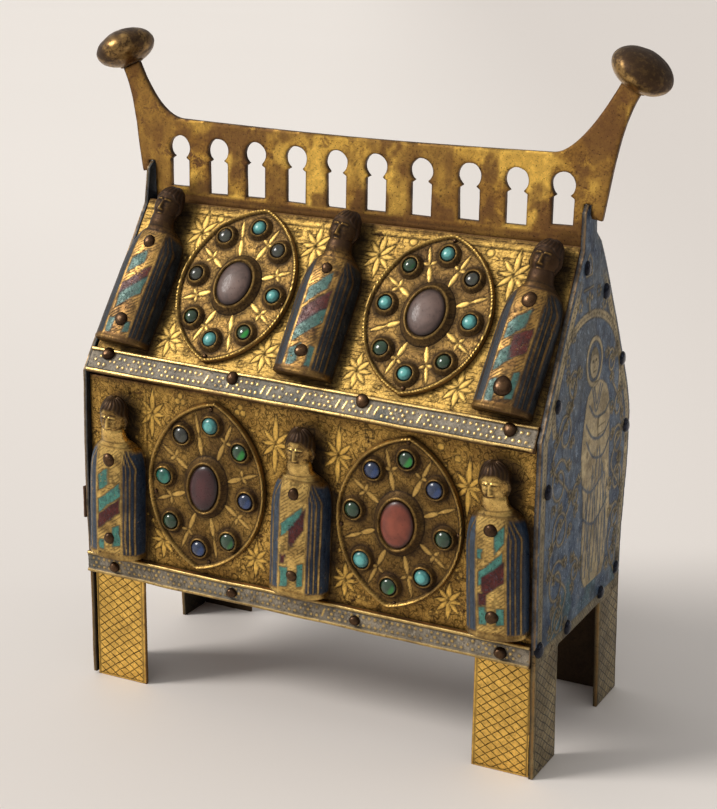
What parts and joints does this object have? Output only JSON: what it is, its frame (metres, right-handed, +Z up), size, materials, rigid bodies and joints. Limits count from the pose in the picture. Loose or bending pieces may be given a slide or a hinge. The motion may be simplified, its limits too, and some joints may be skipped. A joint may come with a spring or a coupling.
{
  "type": "reliquary casket",
  "caption": "House-shaped reliquary casket on strap legs, with enamelled gables, applied figures, pointed-oval stone plates and a pierced crest with knobbed horns",
  "frame": {"origin": "middle of the overall box, at floor level under the feet", "axes": "+X to the casket's right as seen from the front, +Y towards its back, +Z up; the front faces -Y"},
  "size_m": [0.2426, 0.1086, 0.2711],
  "materials": {
    "gilt": "engraved and fire-gilt, rubbed",
    "gilt_worn": "gilding worn to brown copper",
    "copper": "bare copper, brown patina",
    "enamel_blue": "glossy pitted enamel",
    "enamel_grey": "enamel with gilt dots, rolled gilt borders",
    "bronze_dark": "dark gilt bronze with enamel fields",
    "stone_turquoise": "polished cabochon",
    "stone_green": "polished cabochon",
    "stone_blue": "polished cabochon",
    "stone_grey": "polished cabochon",
    "stone_mauve": "polished cabochon",
    "stone_maroon": "polished cabochon",
    "stone_coral": "polished cabochon"
  },
  "bodies": {
    "root": {"gable_left": "enamel_blue", "gable_right": "enamel_blue", "front_wall": "gilt", "back_wall": "gilt_worn", "roof_front": "gilt", "roof_back": "gilt_worn", "bottom_plate": "copper", "eaves_strip": "enamel_grey", "base_strip": "enamel_grey", "crest": "gilt", "knob_left": "bronze_dark", "knob_right": "bronze_dark", "side_leaf": "copper", "oval_upper_left": "gilt_worn", "stone_upper_left_centre": "stone_mauve", "stone_upper_left_1": "stone_turquoise", "stone_upper_left_2": "stone_grey", "stone_upper_left_3": "stone_turquoise", "stone_upper_left_4": "stone_green", "stone_upper_left_5": "stone_turquoise", "stone_upper_left_6": "stone_green", "stone_upper_left_7": "stone_grey", "stone_upper_left_8": "stone_grey", "oval_upper_right": "gilt_worn", "stone_upper_right_centre": "stone_mauve", "stone_upper_right_1": "stone_turquoise", "stone_upper_right_2": "stone_grey", "stone_upper_right_3": "stone_turquoise", "stone_upper_right_4": "stone_green", "stone_upper_right_5": "stone_turquoise", "stone_upper_right_6": "stone_green", "stone_upper_right_7": "stone_turquoise", "stone_upper_right_8": "stone_green", "oval_lower_left": "gilt_worn", "stone_lower_left_centre": "stone_maroon", "stone_lower_left_1": "stone_turquoise", "stone_lower_left_2": "stone_green", "stone_lower_left_3": "stone_blue", "stone_lower_left_4": "stone_green", "stone_lower_left_5": "stone_blue", "stone_lower_left_6": "stone_green", "stone_lower_left_7": "stone_turquoise", "stone_lower_left_8": "stone_grey", "oval_lower_right": "gilt_worn", "stone_lower_right_centre": "stone_coral", "stone_lower_right_1": "stone_green", "stone_lower_right_2": "stone_blue", "stone_lower_right_3": "stone_green", "stone_lower_right_4": "stone_turquoise", "stone_lower_right_5": "stone_green", "stone_lower_right_6": "stone_turquoise", "stone_lower_right_7": "stone_green", "stone_lower_right_8": "stone_blue", "figure_upper_left": "bronze_dark", "figure_upper_centre": "bronze_dark", "figure_upper_right": "bronze_dark", "figure_lower_left": "bronze_dark", "figure_lower_centre": "bronze_dark", "figure_lower_right": "bronze_dark"}
  },
  "joints": []
}
